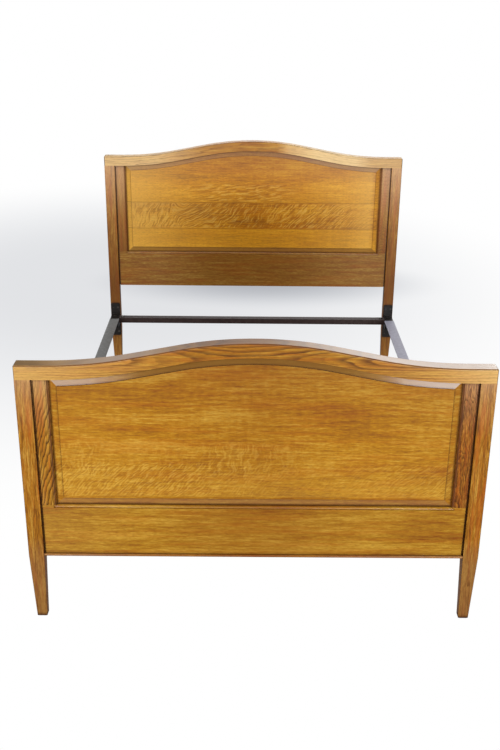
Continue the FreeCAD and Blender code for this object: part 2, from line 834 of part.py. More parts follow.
def bracket(corner):
    body = newBody(f"{corner.name}_bracket", **corner.place)
    plate = newSketch(body, "plate", "XZ_Plane", 0)
    halfPlate = s.plate_width / 2
    rectangle(plate, -halfPlate, halfPlate, plateBottom, plateTop, s.plate_round)
    pad(body, plate, s.plate_thickness)
    socket = newSketch(body, "socket", "XY_Plane", socketBottom)
    half = s.socket_width / 2
    corners = [
        (-half, 0),
        (half, 0),
        (half, s.socket_depth, s.socket_round),
        (-half, s.socket_depth, s.socket_round),
    ]
    outline(socket, corners)
    pad(body, socket, s.socket_height)
    lug = newSketch(body, "lug", "XY_Plane", lugBottom)
    rectangle(lug, half * corner.inward, s.lug_reach * corner.inward, s.lug_near, s.lug_far)
    pad(body, lug, s.lug_thickness)

    top = newSketch(body, "slot_top", "XY_Plane", socketTop)
    slotPlan(top, 0, 0, s.socket_depth)
    bottom = newSketch(body, "slot_bottom", "XY_Plane", slotBottom)
    slotPlan(bottom, s.slot_taper, 0, s.socket_depth)
    before = body.Shape.Volume
    slot = loft(body, "PartDesign::SubtractiveLoft", [top, bottom])
    mustShrink(body, slot, before)
    hole = newSketch(body, "bolt_hole", "XY_Plane", lugTop)
    circle(hole, s.bolt_offset * corner.inward, boltY, s.bolt_radius + s.hole_clearance)
    cut(body, hole, s.lug_thickness, -1)
    holes = newSketch(body, "screw_holes", "XZ_Plane", s.plate_thickness)
    for x, z in screwPlaces():
        circle(holes, x, z, screwHole)
    cut(body, holes, s.plate_thickness, -1)

    def onRim(middle, edge):
        return isCircle(edge, screwHole) and near(middle.y, s.plate_thickness.value)

    sinks = edgesWhere(body.Tip.Shape, onRim)
    soften(body, "PartDesign::Chamfer", "Size", s.screw_head_radius - s.screw_radius, sinks)


def hook(corner):
    body = newBody(f"{corner.name}_hook", **corner.place)
    block = newSketch(body, "block", "XY_Plane", ironBottom)
    half = s.socket_width / 2 - s.hook_clearance
    hookFront = s.socket_depth + s.hook_clearance
    rectangle(block, -half, half, hookFront, s.hook_reach, s.hook_round)
    pad(body, block, s.iron_flange)
    top = newSketch(body, "tongue_top", "XY_Plane", socketTop + s.hook_clearance)
    slotPlan(top, 0, s.hook_clearance, hookFront)
    bottom = newSketch(body, "tongue_bottom", "XY_Plane", slotBottom + s.hook_clearance)
    slotPlan(bottom, s.slot_taper, s.hook_clearance, hookFront)
    loft(body, "PartDesign::AdditiveLoft", [top, bottom])

    ear = newSketch(body, "ear", "XY_Plane", ironBottom + s.ear_bottom)
    outward = -corner.inward
    rectangle(
        ear,
        ironInner * outward,
        (ironInner - s.ear_thickness) * outward,
        s.hook_reach,
        s.hook_reach + s.ear_length,
    )
    pad(body, ear, s.iron_flange - s.ear_bottom - s.iron_thickness)
    holes = newSketch(body, "rivet_holes", "YZ_Plane", ironInner * outward)
    rivetCircles(holes, s.rivet_radius + s.hole_clearance)
    cut(body, holes, s.ear_thickness, -outward)


def rivetCircles(sketch, radius):
    """Two rivets through the ear of a hook."""
    for y in (s.hook_reach + s.rivet_edge, s.hook_reach + s.ear_length - s.rivet_edge):
        circle(sketch, y, rivetZ, radius)


def rivets(corner):
    body = newBody(f"{corner.name}_rivets", **corner.place)
    outward = -corner.inward
    earInner = ironInner - s.ear_thickness
    shanks = newSketch(body, "shanks", "YZ_Plane", earInner * outward)
    rivetCircles(shanks, s.rivet_radius)
    pad(body, shanks, ironOuter - earInner, outward)
    for name, x, toward in (("inner", earInner, -outward), ("outer", ironOuter, outward)):
        heads = newSketch(body, f"{name}_heads", "YZ_Plane", x * outward)
        rivetCircles(heads, s.rivet_head_radius)
        pad(body, heads, s.rivet_head_height, toward)
    reach = (ironOuter + s.rivet_head_height).value
    depth = (earInner - s.rivet_head_height).value

    def onCrown(middle, edge):
        far = near(middle.x * outward, reach) or near(middle.x * outward, depth)
        return isCircle(edge, s.rivet_head_radius) and far

    crowns = edgesWhere(body.Tip.Shape, onCrown)
    soften(body, "PartDesign::Fillet", "Radius", s.rivet_head_round, crowns)


def screws(corner):
    body = newBody(f"{corner.name}_screws", **corner.place)
    neck = s.plate_thickness - s.screw_head_radius + s.screw_radius
    tip = s.plate_thickness - s.screw_length
    shankEnd = tip + s.screw_tip
    places = list(screwPlaces())
    shanks = newSketch(body, "shanks", "XZ_Plane", shankEnd)
    for x, z in places:
        circle(shanks, x, z, s.screw_radius)
    pad(body, shanks, neck - shankEnd)
    for x, z in places:
        screwCone(body, x, z, neck, s.screw_radius, s.plate_thickness, s.screw_head_radius)
    for x, z in places:
        screwCone(body, x, z, shankEnd, s.screw_radius, tip, s.screw_radius / 5)
    slots = newSketch(body, "slots", "XZ_Plane", s.plate_thickness)
    for x, z in places:
        half = s.screw_slot / 2
        reach = s.screw_head_radius + s.screw_slot
        rectangle(slots, x - reach, x + reach, z - half, z + half)
    cut(body, slots, s.screw_slot, -1)


def screwCone(body, x, z, start, startRadius, end, endRadius):
    sections = []
    for place, radius in ((start, startRadius), (end, endRadius)):
        section = newSketch(body, "cone", "XZ_Plane", place)
        circle(section, x, z, radius)
        sections.append(section)
    loft(body, "PartDesign::AdditiveLoft", sections)


def sideIron(side, sideName):
    start = foot.front + s.post_depth + s.hook_reach
    end = head.front - s.hook_reach
    body = newBody(f"{sideName}_side_iron", x=postMiddle * side, y=start, z=s.iron_top)
    section = newSketch(body, "section", "XZ_Plane", 0)
    tip = ironOuter - s.iron_flange
    corners = [
        (ironOuter, 0),
        (ironOuter, -s.iron_flange),
        (ironInner, -s.iron_flange),
        (ironInner, -s.iron_thickness),
        (tip, -s.iron_thickness),
        (tip, 0),
    ]
    outline(section, [(x * side, z) for x, z in corners])
    pad(body, section, end - start)
    holes = newSketch(body, "rivet_holes", "YZ_Plane", ironOuter * side)
    length = end - start
    for y in (s.rivet_edge, s.ear_length - s.rivet_edge):
        for place in (y, length - y):
            circle(holes, place, -s.rivet_drop, s.rivet_radius + s.hole_clearance)
    cut(body, holes, s.iron_thickness, -side)


def crossPlace(board):
    turned = board is head
    return dict(
        y=board.front if turned else board.front + s.post_depth,
        z=s.iron_top,
        turned=turned,
    )


def crossBoltCircles(sketch, radius):
    for side in (-1, 1):
        circle(sketch, (postMiddle - s.bolt_offset) * side, boltY, radius)


def crossIron(board):
    body = newBody(f"{board.name}_cross_iron", **crossPlace(board))
    half = postMiddle - s.socket_width / 2 - s.cross_gap
    section = newSketch(body, "section", "YZ_Plane", -half)
    far = s.cross_setback + s.cross_flange
    corners = [
        (s.cross_setback, 0),
        (far, 0),
        (far, -s.cross_leg),
        (far - s.cross_thickness, -s.cross_leg),
        (far - s.cross_thickness, -s.cross_thickness),
        (s.cross_setback, -s.cross_thickness),
    ]
    outline(section, corners)
    pad(body, section, half * 2)
    holes = newSketch(body, "bolt_holes", "XY_Plane", 0)
    crossBoltCircles(holes, s.bolt_radius + s.hole_clearance)
    cut(body, holes, s.cross_thickness, -1)


def crossBolts(board):
    body = newBody(f"{board.name}_cross_bolts", **crossPlace(board))
    shanks = newSketch(body, "shanks", "XY_Plane", 0)
    crossBoltCircles(shanks, s.bolt_radius)
    pad(body, shanks, s.cross_thickness + s.lug_thickness + s.nut_height + s.bolt_end, -1)
    heads = newSketch(body, "heads", "XY_Plane", 0)
    crossBoltCircles(heads, s.bolt_head_radius)
    pad(body, heads, s.bolt_head_height)

    def onCrown(middle, edge):
        return isCircle(edge, s.bolt_head_radius) and near(middle.z, s.bolt_head_height.value)

    soften(body, "PartDesign::Fillet", "Radius", s.bolt_head_round, edgesWhere(body.Tip.Shape, onCrown))


def crossNuts(board):
    body = newBody(f"{board.name}_cross_nuts", **crossPlace(board))
    under = s.cross_thickness + s.lug_thickness
    flats = newSketch(body, "flats", "XY_Plane", -under)
    corner = s.nut_size / math.sqrt(3)
    halfFlat = s.nut_size / 2
    for side in (-1, 1):
        x = (postMiddle - s.bolt_offset) * side
        hexagon = [
            (x + corner, boltY),
            (x + corner / 2, boltY + halfFlat),
            (x - corner / 2, boltY + halfFlat),
            (x - corner, boltY),
            (x - corner / 2, boltY - halfFlat),
            (x + corner / 2, boltY - halfFlat),
        ]
        outline(flats, hexagon)
    crossBoltCircles(flats, s.bolt_radius + s.hole_clearance)
    pad(body, flats, s.nut_height, -1)


# ---- build ----

sides = ((-1, "left"), (1, "right"))

for board in (head, foot):
    topRail(board)
    panel(board)
    lowerRail(board)
    for side, sideName in sides:
        post(board, side, sideName)
        stile(board, side, sideName)
        dowels(board, side, sideName)
        corner = makeCorner(board, side, sideName)
        bracket(corner)
        screws(corner)
        hook(corner)
        rivets(corner)
    crossIron(board)
    crossBolts(board)
    crossNuts(board)
bottomBead(foot)
for side, sideName in sides:
    sideIron(side, sideName)

doc.recompute()

# ---- check and write ----

for item in doc.Objects:
    if "Invalid" in item.State or "Error" in item.State:
        raise RuntimeError(f"{item.Name} failed: {item.State}")

bodies = [item for item in doc.Objects if item.TypeId == "PartDesign::Body"]
for body in bodies:
    if body.Shape.isNull() or not body.Shape.isValid() or not body.Shape.Solids:
        raise RuntimeError(f"{body.Label} has no valid shape")

os.makedirs("parts", exist_ok=True)
for body in bodies:
    body.Shape.exportStep(f"parts/{body.Label}.step")
    print(body.Label, len(body.Shape.Solids), round(body.Shape.Volume))
print(len(bodies), "nodes")
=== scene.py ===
import math

import bpy
from mathutils import Matrix, Vector

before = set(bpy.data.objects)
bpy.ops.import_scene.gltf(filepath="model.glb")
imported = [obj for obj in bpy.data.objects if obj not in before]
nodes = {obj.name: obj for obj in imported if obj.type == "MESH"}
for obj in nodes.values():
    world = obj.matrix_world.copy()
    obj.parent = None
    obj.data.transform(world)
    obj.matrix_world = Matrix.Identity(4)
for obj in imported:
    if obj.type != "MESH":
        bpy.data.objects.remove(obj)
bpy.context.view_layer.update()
scene = bpy.context.scene
perMetre = 1000  # pieces are in metres, and their patterns in millimetres
white = (1, 1, 1, 1)


def linear(hexColour):  # sRGB hex to the linear values that shaders take
    channels = [int(hexColour[i:i + 2], 16) / 255 for i in (1, 3, 5)]
    return [c / 12.92 if c <= 0.04045 else ((c + 0.055) / 1.055) ** 2.4 for c in channels] + [1]


def addNode(tree, kind, inputs=None, stops=None, **settings):  # a node with its settings, values and links
    node = tree.nodes.new("ShaderNode" + kind)
    for name, value in settings.items():
        setattr(node, name, value)
    for socket, value in (inputs or {}).items():
        if isinstance(value, bpy.types.NodeSocket):
            tree.links.new(value, node.inputs[socket])
        else:
            node.inputs[socket].default_value = value
    if stops:  # a colour ramp's places and colours, in order
        elements = node.color_ramp.elements
        elements.remove(elements[1])
        elements[0].position, elements[0].color = stops[0]
        for place, colour in stops[1:]:
            elements.new(place).color = colour
    return node


def newMaterial(name):
    material = bpy.data.materials.new(name)
    material.use_nodes = True
    material.node_tree.nodes.clear()
    return material, material.node_tree


def dress(material, *names):
    for name in names:
        slots = nodes[name].data.materials
        slots.clear()
        slots.append(material)


# Waxed golden oak, quarter-sawn and plain-sawn, under a thin old polish: open pores,
# ray flecks on the quartered faces, loops and arches on the plain-sawn ones.
# Lengths are in millimetres; the grain runs along a piece and the second size lies across it.
# A span holds the readings at which a share starts and is full.
oak = {
    "dark": "#84490a",
    "middle": "#b4780e",
    "light": "#d8aa40",
    "line": "#4c2203",
    "warm": "#b4570a",
    "pore": "#5c2d03",
    "fleck": "#e3b552",
    "paintedSheen": "#edcf9c",
    "paintedShade": "#7d4307",
    "grimeAndShade": "#341203",
    "stainAndShade": "#5a2c06",
    "endGrain": "#4a2a0c",
    "paintedReflection": "#b29c8a",
    "shadeAndHandling": "#2e1a08",
    "roughness": 0.3,
    "dull": 0.6,  # roughness that is added where the polish has gone
    "specular": 0.4,
    "tone": 0.5,
    "toneStops": (0.15, 0.5, 0.9),  # readings of the dark, middle and light wood
    "streaks": ((420, 80, 0.5), (90, 7, 0.42), (20, 4, 0.34), (14, 90, 0.1)),  # length, width, share
    "streakDetail": 3,
    "patches": (260, 24, 0.2),
    "patchSpan": (-0.02, 0.14),
    "sheenAndShade": ((-700, 0, 0), (700, 0, 0)),  # places along the grain, painted-sheen share, painted-shade share
    "rise": (),  # the same across the grain
    "flecks": (),
    "poreSize": (13, 1.6),  # real pores are 0.3 wide, drawn coarser so that they show
    "poreDetail": 1,
    "poreSpan": (0.02, 0.2),
    "poreShare": 0.3,
    "poreBump": {"Strength": 0.5, "Distance": 0.00015},  # a depth in metres
    "shift": 0,
    "seams": (),  # heights of a panel's glue lines
    "seamShift": 1700,
    "seamReach": 1.3,
    "seamShare": 0.4,
    "turnSpan": (0.995, 0.92),  # from faces that look to the front to the slopes of a moulding
    "deepest": 0.1,  # slopes turned further from the front than this are not darkened
    "deepestReach": 0.3,
    "moulding": 0,
    "arris": 0,
    "upward": 0.3,
    "bevels": (),  # 1 for slopes that look up and -1 for down, then places, painted-reflection share, painted-shade share
    "bevelSpan": (0.02, 0.06),
    "top": (),  # the same places and shares for the top edge
    "topSpan": (0.2, 0.05),
    "endSpan": (0.45, 0.8),
    "endShare": 0.75,
    "corner": (0.005, 1.0, 0.6),  # reach in metres, share, and the openness at which it is full
    "cornerOpen": 0.98,
    "cornerSamples": 8,
}

# The darkness of one year's line, from the open spring wood to the dense summer wood.
yearLine = {
    "darkness": ((0, 0.5), (0.14, 1), (0.45, 0.4), (0.75, 0)),
    "gapSize": (50, 5),
    "gapSpan": (-0.14, 0.06),
}

# Flakes of silk where the face cuts the rays, each with a painted shadow of darker colour beside it.
flake = {
    "steepest": 5,  # millimetres aside for each one up
    "feather": 5,
    "bendSize": (70, 45),
    "detail": 0.5,
    "silkSpan": (0.53, 0.68),
    "shadowSpan": (0.48, 0.33),
}


def noiseOver(tree, wood, long, wide, detail=2):  # noise stretched along the grain, about zero
    cells = addNode(tree, "VectorMath", {0: wood, 1: (long, wide, wide)}, operation="DIVIDE").outputs[0]
    noise = addNode(tree, "TexNoise", {"Vector": cells, "Scale": 1, "Detail": detail}).outputs[0]
    return addNode(tree, "Math", {0: noise, 1: 0.5}, operation="SUBTRACT").outputs[0]


def alongBoard(tree, value, stops):  # two amounts given at places in millimetres
    low, high = stops[0][0], stops[-1][0]
    place = addNode(tree, "MapRange", {0: value, 1: low, 2: high}).outputs[0]
    spots = [((at - low) / (high - low), (first, second, 0, 1)) for at, first, second in stops]
    read = addNode(tree, "ValToRGB", {0: place}, stops=spots).outputs[0]
    return addNode(tree, "SeparateColor", {0: read}).outputs


def growthRings(tree, wood, along, across, rings):  # dark porous lines where the face cuts the year rings
    fromTip = addNode(tree, "Math", {0: along, 1: rings["tip"]}, operation="SUBTRACT").outputs[0]
    aside = addNode(tree, "Math", {0: across, 1: rings["heart"]}, operation="SUBTRACT").outputs[0]
    if "wave" in rings:  # the heart dips under the crown, so the loops open towards both ends
        pace = 2 * math.pi / rings["wave"]
        turn = addNode(tree, "Math", {0: fromTip, 1: pace}, operation="MULTIPLY").outputs[0]
        turn = addNode(tree, "Math", {0: turn}, operation="COSINE").outputs[0]
        swing = {0: turn, 1: rings["swing"], 2: rings["bury"] + rings["swing"]}
        depth = addNode(tree, "Math", swing, operation="MULTIPLY_ADD").outputs[0]
        pair = addNode(tree, "CombineXYZ", {"X": aside, "Y": depth}).outputs[0]
        radius = addNode(tree, "VectorMath", {0: pair}, operation="LENGTH").outputs["Value"]
    else:  # arches of one shape all along, or nearly straight lines where the flank is steep
        flank = addNode(tree, "Math", {0: aside}, operation="ABSOLUTE").outputs[0]
        flank = addNode(tree, "Math", {0: flank, 1: rings["bow"]}, operation="POWER").outputs[0]
        flank = addNode(tree, "Math", {0: flank, 1: rings["steep"]}, operation="MULTIPLY").outputs[0]
        slope = {0: fromTip, 1: rings["slope"], 2: flank}
        radius = addNode(tree, "Math", slope, operation="MULTIPLY_ADD").outputs[0]
    for long, wide, share in rings["wander"]:
        wander = noiseOver(tree, wood, long, wide)
        radius = addNode(tree, "Math", {0: wander, 1: share, 2: radius}, operation="MULTIPLY_ADD").outputs[0]
    year = addNode(tree, "Math", {0: radius, 1: rings["width"]}, operation="DIVIDE").outputs[0]
    number = addNode(tree, "Math", {0: year}, operation="FLOOR").outputs[0]
    part = addNode(tree, "Math", {0: year}, operation="FRACT").outputs[0]
    stops = [(at, (level, level, level, 1)) for at, level in yearLine["darkness"]]
    line = addNode(tree, "ValToRGB", {0: part}, stops=stops).outputs[0]
    strength = addNode(tree, "TexWhiteNoise", {"W": number}, noise_dimensions="1D").outputs[0]
    strength = addNode(tree, "MapRange", {0: strength, 3: rings["faintest"], 4: 1}).outputs[0]
    broken = noiseOver(tree, wood, *yearLine["gapSize"])
    start, full = yearLine["gapSpan"]
    broken = addNode(tree, "MapRange", {0: broken, 1: start, 2: full, 3: rings["broken"], 4: 1}).outputs[0]
    mark = addNode(tree, "Math", {0: line, 1: strength}, operation="MULTIPLY").outputs[0]
    mark = addNode(tree, "Math", {0: mark, 1: broken}, operation="MULTIPLY").outputs[0]
    clear = alongBoard(tree, along, rings["clear"])[0]
    return addNode(tree, "Math", {0: mark, 1: clear}, operation="MULTIPLY").outputs[0]


def rayFlecks(tree, wood, axes, group):  # leaning flakes: the amounts of silk and of the painted shadow beside it
    up = addNode(tree, "Math", {0: axes["Z"], 1: group["middle"]}, operation="SUBTRACT").outputs[0]
    steepest, feather = flake["steepest"], flake["feather"]
    stops = [(x, lean / steepest, amount) for x, lean, amount in group["along"]]
    course = alongBoard(tree, axes["X"], stops)
    lean = addNode(tree, "Math", {0: course[0], 1: -steepest}, operation="MULTIPLY").outputs[0]
    level = addNode(tree, "Math", {0: up, 1: lean, 2: axes["X"]}, operation="MULTIPLY_ADD").outputs[0]
    bend = noiseOver(tree, wood, *flake["bendSize"])
    level = addNode(tree, "Math", {0: bend, 1: group["bend"], 2: level}, operation="MULTIPLY_ADD").outputs[0]
    wide = addNode(tree, "Math", {0: level, 1: group["wide"]}, operation="DIVIDE").outputs[0]
    high = addNode(tree, "Math", {0: up, 1: group["long"]}, operation="DIVIDE").outputs[0]
    low, top = group["low"], group["high"]
    below = addNode(tree, "MapRange", {0: axes["Z"], 1: low - feather, 2: low + feather}).outputs[0]
    above = addNode(tree, "MapRange", {0: axes["Z"], 1: top + feather, 2: top - feather}).outputs[0]
    within = addNode(tree, "Math", {0: below, 1: above}, operation="MULTIPLY").outputs[0]
    within = addNode(tree, "Math", {0: within, 1: course[1]}, operation="MULTIPLY").outputs[0]
    cell = addNode(tree, "CombineXYZ", {"X": wide, "Y": high}).outputs[0]
    pattern = {"Vector": cell, "Scale": 1, "Detail": flake["detail"]}
    silk = addNode(tree, "TexNoise", pattern, noise_dimensions="2D").outputs[0]
    marks = []
    for start, full in (flake["silkSpan"], flake["shadowSpan"]):
        mark = addNode(tree, "MapRange", {0: silk, 1: start, 2: full, 4: group["share"]}).outputs[0]
        marks.append(addNode(tree, "Math", {0: mark, 1: within}, operation="MULTIPLY").outputs[0])
    return marks


def oakMaterial(name, board):
    look = dict(oak, **board)
    material, tree = newMaterial(name)
    source = addNode(tree, "TexCoord").outputs
    place = {0: source["Object"], "Scale": perMetre}
    place = addNode(tree, "VectorMath", place, operation="SCALE").outputs[0]
    axes = addNode(tree, "SeparateXYZ", {0: place}).outputs
    along, across = ("X", "Z") if look["grain"] == "x" else ("Z", "X")

    # every board, and every board of a glued-up panel, comes from another part of the tree
    shift = look["shift"]
    for seam in look["seams"]:
        above = addNode(tree, "Math", {0: axes["Z"], 1: seam}, operation="GREATER_THAN").outputs[0]
        further = {0: above, 1: look["seamShift"], 2: shift}
        shift = addNode(tree, "Math", further, operation="MULTIPLY_ADD").outputs[0]
    moved = addNode(tree, "Math", {0: axes[along], 1: shift}, operation="ADD").outputs[0]
    wood = addNode(tree, "CombineXYZ", {"X": moved, "Y": axes[across], "Z": axes["Y"]}).outputs[0]

    tone = look["tone"]
    for long, wide, share in look["streaks"]:
        streak = noiseOver(tree, wood, long, wide, look["streakDetail"])
        tone = addNode(tree, "Math", {0: streak, 1: share * 2, 2: tone}, operation="MULTIPLY_ADD").outputs[0]
    stops = [(at, linear(look[shade])) for at, shade in zip(look["toneStops"], ("dark", "middle", "light"))]
    colour = addNode(tree, "ValToRGB", {0: tone}, stops=stops).outputs[0]
    long, wide, share = look["patches"]
    patch = noiseOver(tree, wood, long, wide)
    start, full = look["patchSpan"]
    patch = addNode(tree, "MapRange", {0: patch, 1: start, 2: full, 4: share}).outputs[0]
    layers = [(patch, "warm")]  # amounts and colours, from the wood outwards

    # painted sheen lightens stretches of a board where the lamps would shine on it, and painted shade darkens
    # others, such as the middles and the footboard's shadow low on the head
    course = alongBoard(tree, axes[along], look["sheenAndShade"])
    layers += [(course[0], "paintedSheen"), (course[1], "paintedShade")]
    # lighter and darker bands across the grain: partly board tone, partly painted shade under the top rails
    # and on the margins that look down
    if look["rise"]:
        course = alongBoard(tree, axes[across], look["rise"])
        layers += [(course[0], "light"), (course[1], "paintedShade")]

    if "rings" in look:
        layers.append((growthRings(tree, wood, axes[along], axes[across], look["rings"]), "line"))
    for group in look["flecks"]:
        silk, shadow = rayFlecks(tree, wood, axes, group)
        # the dark strokes beside the flakes are painted shadow
        layers += [(shadow, "dark"), (silk, "fleck")]

    dashes = noiseOver(tree, wood, *look["poreSize"], look["poreDetail"])
    start, full = look["poreSpan"]
    pores = addNode(tree, "MapRange", {0: dashes, 1: start, 2: full, 4: look["poreShare"]}).outputs[0]
    layers.append((pores, "pore"))
    for seam in look["seams"]:
        near = {0: axes["Z"], 1: seam, 2: look["seamReach"]}
        near = addNode(tree, "Math", near, operation="COMPARE").outputs[0]
        near = addNode(tree, "Math", {0: near, 1: look["seamShare"]}, operation="MULTIPLY").outputs[0]
        layers.append((near, "line"))

    # slopes of the mouldings turned from the front, and by a share of their own the arrises that look up, are
    # darkened: partly stain, partly painted shade, such as the shadow under the head's top rail
    normal = addNode(tree, "SeparateXYZ", {0: source["Normal"]}).outputs
    front = addNode(tree, "Math", {0: normal["Y"]}, operation="ABSOLUTE").outputs[0]
    start, full = look["turnSpan"]
    turned = addNode(tree, "MapRange", {0: front, 1: start, 2: full}).outputs[0]
    start, full = look["deepest"], look["deepest"] + look["deepestReach"]
    bent = addNode(tree, "MapRange", {0: front, 1: start, 2: full}).outputs[0]
    turned = addNode(tree, "Math", {0: turned, 1: bent}, operation="MULTIPLY").outputs[0]
    raised = addNode(tree, "Math", {0: normal["Z"], 1: look["upward"]}, operation="GREATER_THAN").outputs[0]
    share = addNode(tree, "MapRange", {0: raised, 3: look["moulding"], 4: look["arris"]}).outputs[0]
    turned = addNode(tree, "Math", {0: turned, 1: share}, operation="MULTIPLY").outputs[0]

    # painted reflection lightens sloping margins and top edges where they would mirror the lamps; painted
    # shade darkens stretches of them that would mirror dark surroundings, and the margins that look down
    zones = []
    start, full = look["bevelSpan"]
    for side, stops in look["bevels"]:
        lean = addNode(tree, "MapRange", {0: normal["Z"], 1: start * side, 2: full * side}).outputs[0]
        zones.append((lean, stops))
    if look["top"]:
        start, full = look["topSpan"]
        flat = addNode(tree, "MapRange", {0: front, 1: start, 2: full}).outputs[0]
        flat = addNode(tree, "Math", {0: flat, 1: raised}, operation="MULTIPLY").outputs[0]
        zones.append((flat, look["top"]))
    rough = look["roughness"]
    for zone, stops in zones:
        course = alongBoard(tree, axes[along], stops)
        for amount, shade in zip(course, ("paintedReflection", "shadeAndHandling")):
            amount = addNode(tree, "Math", {0: amount, 1: zone}, operation="MULTIPLY").outputs[0]
            layers.append((amount, shade))
        dull = {0: amount, 1: look["dull"], 2: rough}  # handled wood has lost its polish
        rough = addNode(tree, "Math", dull, operation="MULTIPLY_ADD").outputs[0]
    layers.append((turned, "stainAndShade"))
    dull = {0: turned, 1: look["dull"], 2: rough}
    rough = addNode(tree, "Math", dull, operation="MULTIPLY_ADD", use_clamp=True).outputs[0]

    # end grain drinks the stain, and the inner corners are darkened: partly polish and dust, partly painted
    # shade where shade falls in them
    facing = addNode(tree, "Math", {0: normal[along]}, operation="ABSOLUTE").outputs[0]
    start, full = look["endSpan"]
    facing = addNode(tree, "MapRange", {0: facing, 1: start, 2: full, 4: look["endShare"]}).outputs[0]
    reach, share, closed = look["corner"]
    samples = look["cornerSamples"]
    corner = addNode(tree, "AmbientOcclusion", {"Distance": reach}, samples=samples).outputs["AO"]
    span = {0: corner, 1: closed, 2: look["cornerOpen"], 3: share, 4: 0}
    corner = addNode(tree, "MapRange", span).outputs[0]
    layers += [(facing, "endGrain"), (corner, "grimeAndShade")]
    for amount, shade in layers:
        mix = {0: amount, 6: colour, 7: linear(look[shade])}
        colour = addNode(tree, "Mix", mix, data_type="RGBA").outputs[2]

    bump = addNode(tree, "Bump", dict(look["poreBump"], Height=pores), invert=True).outputs[0]
    finish = {"Base Color": colour, "Normal": bump, "Roughness": rough}
    finish["Specular IOR Level"] = look["specular"]
    shader = addNode(tree, "BsdfPrincipled", finish).outputs[0]
    addNode(tree, "OutputMaterial", {"Surface": shader})
    return material


# Plain-sawn top rails: loops open from the crown towards both ends, where the grain runs straight.
topRails = {
    "foot": {
        "shift": 7300, "corner": (0.014, 0.9, 0.6), "moulding": 0.25, "arris": 0.75,
        "patches": (200, 14, 0.3), "poreShare": 0.25, "paintedSheen": "#efc47a",
        "streaks": ((300, 30, 0.35), (80, 5, 0.4), (20, 3.5, 0.2)),
        "top": (
            (-700, 0.05, 0.7), (-640, 0.1, 0.62), (-570, 0.4, 0.32), (-480, 0.8, 0.1), (-420, 0.95, 0),
            (-310, 0.8, 0.05), (-250, 0.6, 0.25), (-140, 0.4, 0.4), (30, 0.4, 0.35), (90, 0.5, 0.22),
            (150, 0.65, 0.1), (260, 0.8, 0), (400, 0.8, 0), (700, 0.9, 0),
        ),
        "sheenAndShade": (
            (-700, 0.5, 0), (-560, 0.36, 0), (-330, 0.1, 0), (-150, 0, 0.3), (120, 0, 0.3),
            (330, 0.05, 0.05), (520, 0.25, 0), (640, 0.55, 0), (700, 0.7, 0),
        ),
        "rings": {
            "tip": -38, "heart": 887, "wave": 1100, "swing": 21, "bury": 6, "width": 8,
            "wander": ((200, 35, 14), (60, 14, 5)), "faintest": 0.35, "broken": 0.65,
            "clear": (
                (-700, 0.2, 0), (-520, 0.4, 0), (-320, 0.95, 0), (320, 1, 0), (520, 0.5, 0), (700, 0.25, 0),
            ),
        },
    },
    "head": {
        # the dark moulding and long corner reach are painted shade: the rail's lower moulding is drawn dark
        # as if in the rail's own shadow
        "shift": 3100, "corner": (0.024, 1.0, 0.6), "moulding": 1, "arris": 0.3,
        "poreShare": 0.15, "stainAndShade": "#3c1e04", "paintedSheen": "#edcd92",
        "streaks": ((300, 30, 0.45), (90, 9, 0.4), (20, 4, 0.15)),
        "sheenAndShade": (
            (-700, 0.6, 0), (-450, 0.55, 0), (-230, 0.1, 0.1), (0, 0, 0.3), (110, 0.02, 0.15),
            (170, 0.45, 0), (300, 0.8, 0), (480, 0.8, 0), (560, 0.4, 0.05), (700, 0.35, 0.05),
        ),
        "rings": {
            "tip": 60, "heart": 1190, "wave": 1500, "swing": 40, "bury": 60, "width": 9,
            "wander": ((260, 40, 40), (60, 10, 8)), "faintest": 0.1, "broken": 0.3,
            "clear": ((-700, 0.7, 0), (-300, 0.5, 0), (700, 0.35, 0)),
        },
    },
}
for end, board in topRails.items():
    dress(oakMaterial(f"{end}_top_rail_plain_sawn_oak", dict(board, grain="x")), f"{end}_top_rail")

